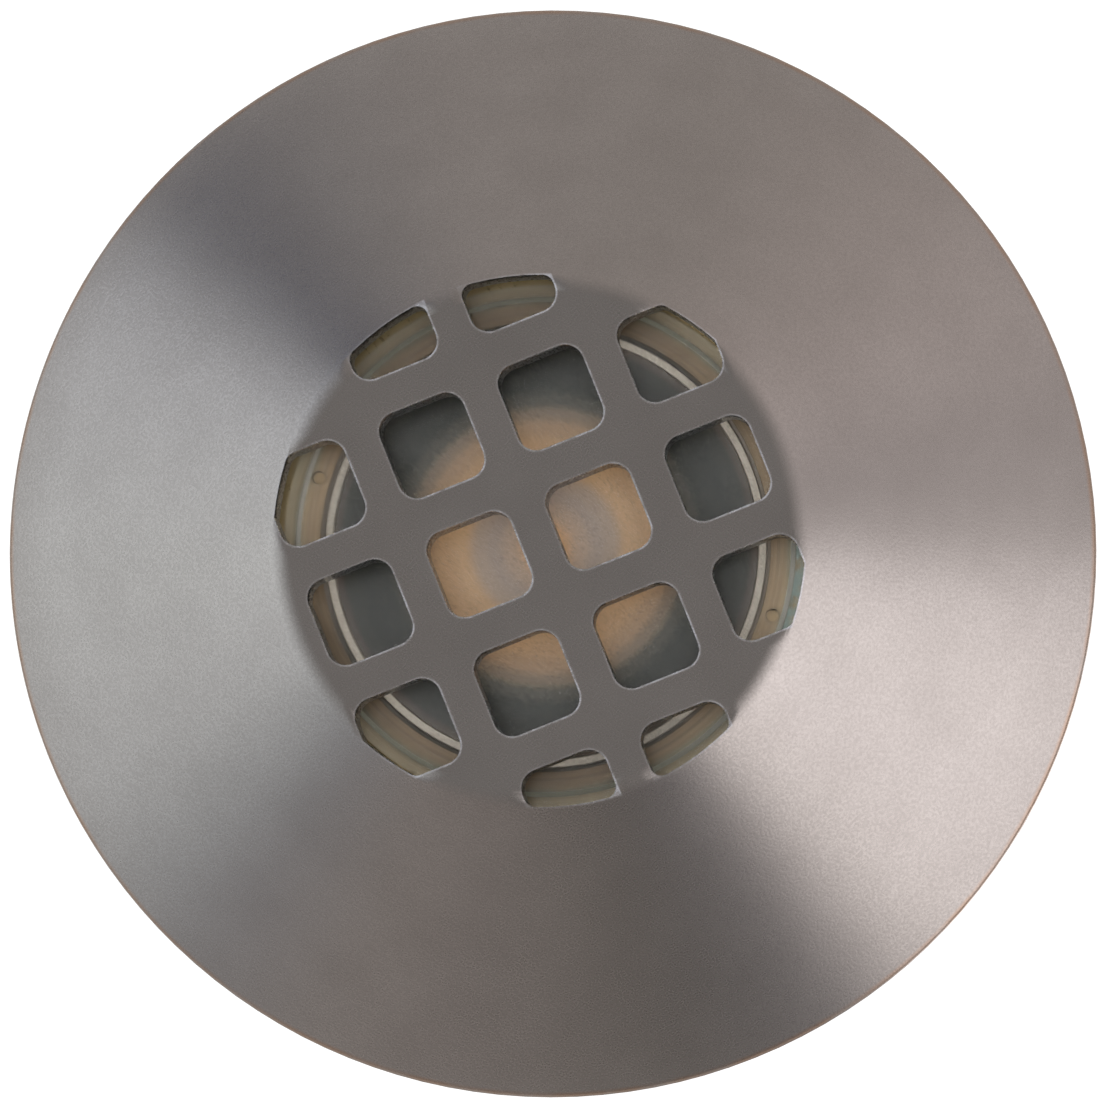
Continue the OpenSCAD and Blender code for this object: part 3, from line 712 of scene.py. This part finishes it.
def block(turn, r, size, square=7.0, inset=0.06 * MM, foot=0.0):
    """A moulded block on the board, from its length sideways, its width and its height: its section is a
    near-square superellipse, and its ends are drawn in by the inset."""
    length, width, height = size
    outward, sideways, at = on_board(turn, r)
    steps = np.array([-0.5, -0.5, 0.5, 0.5]) * length + np.array([0, inset, -inset, 0])
    path = at + sideways * steps[:, None] + UP * (foot + height / 2)
    end_share = 1 - 2 * inset / width
    shrink = np.array([end_share, 1, 1, end_share])[:, None, None]
    grid = sweep(path, outward, width / 2, height / 2, square, 24)
    return path[:, None] + (grid - path[:, None]) * shrink


def gull_leg(turn, r, across, side, start, height, reach_out, width):
    """A flat leg that leaves a body level, bends down and ends in a foot on the board. Across is its offset
    sideways, and side says whether it points outward or inward."""
    outward, sideways, at = on_board(turn, r)
    out = start + reach_out * np.array([0, 0.25, 0.42, 0.55, 0.7, 1])
    rise = np.array([height, height, 0.75 * height, 0.3 * height, LEG_T / 2, LEG_T / 2])
    path = at + outward * (side * out)[:, None] + sideways * across + UP * rise[:, None]
    return sweep(path, sideways, width / 2, LEG_T / 2, 5.0)


def solder(turn, r, across, size, height):
    """A fillet of solder: a flat dome whose radius falls as the square root of one minus its height."""
    _, sideways, at = on_board(turn, r)
    rise = np.array([0, 0.25, 0.5, 0.75, 0.92, 1.0])
    profile = np.stack([np.sqrt(1.02 - rise) * size, rise * height], axis=-1)
    return revolved(profile, at + sideways * across, 14)


COPPER = metal("enamelled_copper", ("#b4602c", "#9d4f22"), 0.3, 0.4 * MM, 0.004 * MM)
TIN = metal("solder_tin", ("#c9cacb", "#b3b5b7"), 0.34, 0.5 * MM, 0.02 * MM)
CHIP_BLACK = moulded("chip_epoxy", ("#202022", "#29292b"), 0.5, 0.12 * MM, 0.005 * MM)
CHIP_TAN = moulded("chip_ceramic", ("#a78c68", "#9a7f5c"), 0.45, 0.15 * MM, 0.005 * MM)

# The coil's wire: its radius, its turns and the points drawn in each, how far inside the flanges' edge it
# runs, and how far it stays off the coil's two faces
WIRE_R = 0.17 * MM
COIL_TURNS = 6.4
TURN_POINTS = 40
COIL_DEPTH = 0.6 * MM
COIL_INSET = 1.2 * MM

# Bearing in degrees and radius of the controller, its size, its height off the board, and its pins' pitch
CONTROLLER_AT = (202, 43 * MM)
CONTROLLER_SIZE = (4.9 * MM, 3.9 * MM, 1.35 * MM)
CONTROLLER_LIFT = 0.12 * MM
PIN_PITCH = 1.27 * MM
# Bearings and radii of the chip resistors and capacitors in degrees and millimetres, then in millimetres
# their bodies' length, width and two heights
RESISTORS = [(188, 41.5), (192.5, 43.6), (226.5, 42.4), (231, 41), (178, 42.6)]
CERAMICS = [(213.5, 42.2), (217.5, 42.2), (183.5, 43.4)]
CHIP_L, CHIP_W, RESISTOR_H, CERAMIC_H = 1.9, 1.25, 0.5, 0.95
# In millimetres, the length of a chip's metal end, by how much it is wider and higher than the body, and how
# far from the chip's middle it and its solder stand
END_L, END_PROUD, END_OFF, END_SOLDER_OFF = 0.4, 0.06, 0.86, 1.1
CAN_PIN_OFF = 3.3 * MM


def coil_winding():
    """The inductor's wire: a helix half sunk in the core, with its two ends led over the flange's edge and
    down to the board."""
    _, _, at = on_board(*middle_of("inductor"))
    low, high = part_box("inductor")
    flange_r = (high[0] - low[0]) / 2
    core_r = flange_r - COIL_DEPTH
    foot, head = COIL_INSET, high[2] - BOARD_TOP - COIL_INSET
    a = np.linspace(0, 2 * np.pi * COIL_TURNS, int(COIL_TURNS * TURN_POINTS))
    rise = foot + (head - foot) * a / a[-1]
    path = at + np.stack([np.cos(a) * core_r, np.sin(a) * core_r, rise], axis=-1)
    grids = [sweep(path, UP, WIRE_R, WIRE_R, columns=8)]
    for angle, height in ((0.0, foot), (a[-1], head)):
        out = np.array([math.cos(angle), math.sin(angle), 0])
        tangent = np.array([-math.sin(angle), math.cos(angle), 0])
        hang_r = flange_r + 0.34 * MM
        reach_out = np.array([core_r, flange_r, flange_r + 0.28 * MM, hang_r, hang_r])
        drop = np.array([height, height, height - 0.12 * MM, height - 0.4 * MM, 0.05 * MM])
        tail = at + out * reach_out[:, None] + UP * drop[:, None]
        grids.append(sweep(tail, tangent, WIRE_R, WIRE_R, columns=8))
    new_piece("coil_winding", grids, COPPER)


def driver_parts():
    """The chips, their legs and the solder on the driver's board."""
    # Each leaded chip's bearing and radius, its legs' places in pitches, where a leg starts with its height,
    # reach and width, and how far off its solder lies with the solder's size and height
    leaded = (
        (*middle_of("rectifier"), (-1, 1), (2.2 * MM, 1.1 * MM, 1.25 * MM, 0.6 * MM),
         (3.3 * MM, 0.55 * MM, 0.14 * MM)),
        (*CONTROLLER_AT, (-1.5, -0.5, 0.5, 1.5), (1.85 * MM, 0.75 * MM, 0.95 * MM, 0.45 * MM),
         (2.6 * MM, 0.4 * MM, 0.12 * MM)),
    )
    legs, joints, ends = [], [], []
    for side in (-1, 1):
        for turn, r, columns, leg, (off, size, rise) in leaded:
            for across in (column * PIN_PITCH for column in columns):
                legs.append(gull_leg(turn, r, across, side, *leg))
                joints.append(solder(turn, r + side * off, across, size, rise))
    body = block(*CONTROLLER_AT, CONTROLLER_SIZE, foot=CONTROLLER_LIFT)
    new_piece("controller_chip", [body], CHIP_BLACK)
    for (turn, r), height in [(at, RESISTOR_H) for at in RESISTORS] + [(at, CERAMIC_H) for at in CERAMICS]:
        end_size = (END_L * MM, (CHIP_W + END_PROUD) * MM, (height + END_PROUD) * MM)
        for side in (-1, 1):
            ends.append(block(turn + side * math.degrees(END_OFF / r), r * MM, end_size, 9.0, 0.03 * MM))
            foot_turn = turn + side * math.degrees(END_SOLDER_OFF / r)
            joints.append(solder(foot_turn, r * MM, 0, 0.62 * MM, 0.22 * MM))
    for name, places, height, material, slot in (
            ("chip_resistors", RESISTORS, RESISTOR_H, CHIP_BLACK, "black_plastic"),
            ("chip_capacitors", CERAMICS, CERAMIC_H, CHIP_TAN, "phosphor")):
        size = (CHIP_L * MM, CHIP_W * MM, height * MM)
        new_piece(name, [block(turn, r * MM, size, 9.0, 0.02 * MM) for turn, r in places], material)
    new_piece("chip_ends", ends, TIN)
    # Bared lead ends, and the cans' joints
    reach_out = max(math.hypot(*corner[:2]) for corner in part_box("led_leads")) - 0.4 * MM
    outward, sideways, at = on_board(LEAD_TURN, reach_out)
    for side in (-1, 1):
        bared = np.array([[-0.5, 0.6], [0.2, 0.58], [0.6, 0.4], [0.9, 0.18], [1.3, 0.16]]) * MM
        path = at + sideways * side * LEAD_OFF + outward * bared[:, :1] + UP * bared[:, 1:]
        legs.append(sweep(path, sideways, 0.26 * MM, 0.22 * MM, columns=10))
        joints.append(solder(LEAD_TURN, reach_out + 0.95 * MM, side * LEAD_OFF, 0.75 * MM, 0.42 * MM))
    for turn in CAN_TURNS:
        for side in (-1, 1):
            joints.append(solder(turn, CANS_AT_R + side * CAN_PIN_OFF, 0, 0.6 * MM, 0.25 * MM))
    new_piece("component_legs", legs, TIN)
    new_piece("solder_joints", joints, TIN)


coil_winding()
driver_parts()


# Floor, light and camera

# The room's walls: bearing in degrees, brightness and tint, from the left side round by the bottom. The two
# bright stretches stand for soft boxes at the left and the lower right.
WALLS = [
    (-180, 1.30, "#f2fbff"), (-165, 1.19, "#f2faff"), (-154, 1.07, "#f1faff"), (-145, 0.745, "#eef8ff"),
    (-137, 0.43, "#f0f5ff"), (-120, 0.43, "#fff8f4"), (-104, 0.37, "#fff7f4"), (-90, 0.31, "#fff8f3"),
    (-76, 0.21, "#fffaf6"), (-58, 0.22, "#f5f5ff"), (-52, 0.86, "#fffbfc"), (-47, 1.76, "#fffcfc"),
    (-30, 1.85, "#fffcfe"), (-14, 1.80, "#fffcfd"), (-4, 1.70, "#fffcfe"), (5, 0.74, "#fff9f9"),
    (15, 0.66, "#fff8f9"), (32, 0.80, "#fff6f5"), (50, 0.63, "#fff6f3"), (72, 0.50, "#fff9f5"),
    (106, 0.51, "#fffaf8"), (122, 0.40, "#fbfbff"), (136, 0.20, "#cad7ff"), (142, 0.54, "#eaf2ff"),
    (148, 1.17, "#ecf5ff"), (163, 1.28, "#eff8ff"), (180, 1.30, "#f2fbff")
]
CEILING = (0.292, 0.288, 0.284, 1)
# Elevations in degrees between which the walls turn into the ceiling
WALL_TOP, CEILING_FOOT = 18, 90
WHITE = (1, 1, 1, 1)
FLOOR_HALF = 2.0
FLOOR_GAP = 0.1 * MM
FLOOR_GLOW = 0.8
RECESS_DEPTH = 8 * MM

# The camera's distance, lean and bearing in degrees, the point it looks at and the width that it sees there
CAMERA_FAR = 900 * MM
CAMERA_LEAN, CAMERA_BEARING = 4.1, -43.5
CAMERA_AIM = (0.1 * MM, 0, BAND_TOP)
VIEW_W = 116.6 * MM
SENSOR_W = 36.0


def studio_floor():
    """A pale floor that the camera sees as white but for the object's own shadow. It lies a hair under the
    foot. So that the underside and its recesses can be looked at, it is clear from below, and to rays that
    start close by."""
    corners = np.array([[-1, -1, 0], [1, -1, 0], [1, 1, 0], [-1, 1, 0]]) * FLOOR_HALF
    corners[:, 2] = -FLOOR_GAP
    mesh = bpy.data.meshes.new("floor")
    mesh.from_pydata(corners.tolist(), [], [(0, 1, 2, 3)])
    floor = bpy.data.objects.new("floor", mesh)
    bpy.context.scene.collection.objects.link(floor)
    material, tree, shader, _ = new_material("floor_white")
    ray = add(tree, "ShaderNodeLightPath").outputs
    feed(tree, shader, {"Base Color": srgb("#a3a2a0"), "Roughness": 0.9, "Emission Color": WHITE,
                        "Emission Strength": times(tree, ray["Is Camera Ray"], FLOOR_GLOW)})
    below = add(tree, "ShaderNodeNewGeometry").outputs["Backfacing"]
    hidden = larger(tree, below, calc(tree, "LESS_THAN", ray["Ray Length"], RECESS_DEPTH))
    clear = add(tree, "ShaderNodeBsdfTransparent")
    both = add(tree, "ShaderNodeMixShader", {0: hidden, 1: shader.outputs[0], 2: clear.outputs[0]})
    feed(tree, tree.nodes["Output"], {"Surface": both.outputs[0]})
    paint(floor, material)


def softbox(name, bearing, rise, distance, width, height, radiance):
    """A rectangular lamp that faces the object from a bearing and a rise in degrees. Metal doesn't mirror it:
    what metal mirrors is the room."""
    data = bpy.data.lights.new(name, "AREA")
    data.shape = "RECTANGLE"
    data.size = width
    data.size_y = height
    data.energy = radiance * math.pi * width * height
    lamp = bpy.data.objects.new(name, data)
    a, e = math.radians(bearing), math.radians(rise)
    at = Vector((math.cos(a) * math.cos(e), math.sin(a) * math.cos(e), math.sin(e))) * distance
    lamp.matrix_world = Matrix.Translation(at) @ (-at).to_track_quat("-Z", "Y").to_matrix().to_4x4()
    lamp.visible_camera = False
    lamp.visible_glossy = False
    bpy.context.scene.collection.objects.link(lamp)


def studio_world():
    """A dim room whose walls differ from side to side, and a grey ceiling. The camera sees it as white."""
    world = bpy.data.worlds.new("studio")
    bpy.context.scene.world = world
    world.use_nodes = True
    tree = world.node_tree
    tree.nodes.clear()
    x, y, z = parts_of(tree, add(tree, "ShaderNodeTexCoord").outputs["Generated"])
    bearing = calc(tree, "ARCTAN2", y, x)
    walls = add(tree, "ShaderNodeValToRGB", {0: ranged(tree, bearing, -math.pi, math.pi)})
    ramp = walls.color_ramp.elements
    for turn, _, _ in WALLS[1:-1]:
        ramp.new((turn + 180) / 360)
    for i, (_, level, tint) in enumerate(WALLS):
        ramp[i].color = (*(level * channel for channel in srgb(tint)[:3]), 1)
    rise = calc(tree, "ARCSINE", z)
    share = ranged(tree, rise, math.radians(WALL_TOP), math.radians(CEILING_FOOT), kind="SMOOTHSTEP")
    room = mixed(tree, share, walls.outputs[0], CEILING)
    light = add(tree, "ShaderNodeBackground", {"Color": room, "Strength": 1.0})
    white = add(tree, "ShaderNodeBackground", {"Color": WHITE, "Strength": 1.0})
    sight = add(tree, "ShaderNodeLightPath").outputs["Is Camera Ray"]
    both = add(tree, "ShaderNodeMixShader", {0: sight, 1: light.outputs[0], 2: white.outputs[0]})
    add(tree, "ShaderNodeOutputWorld", {"Surface": both.outputs[0]})


def photo_camera():
    """A long lens almost straight above, leaning towards the lower right."""
    lean, bearing = math.radians(CAMERA_LEAN), math.radians(CAMERA_BEARING)
    out = Vector((math.sin(lean) * math.cos(bearing), math.sin(lean) * math.sin(bearing), math.cos(lean)))
    back = out.normalized()
    right = Vector((0, 1, 0)).cross(back).normalized()
    up = back.cross(right)
    data = bpy.data.cameras.new("camera")
    data.sensor_width = SENSOR_W
    data.lens = data.sensor_width * CAMERA_FAR / VIEW_W
    data.clip_start = 0.01
    camera = bpy.data.objects.new("camera", data)
    turn = Matrix((right, up, back)).transposed().to_4x4()
    camera.matrix_world = Matrix.Translation(Vector(CAMERA_AIM) + out * CAMERA_FAR) @ turn
    bpy.context.scene.collection.objects.link(camera)
    bpy.context.scene.camera = camera


studio_floor()
studio_world()
softbox("top_box", bearing=90, rise=88, distance=0.75, width=0.9, height=0.9, radiance=3.3)
photo_camera()
bpy.context.scene.view_settings.view_transform = "Standard"
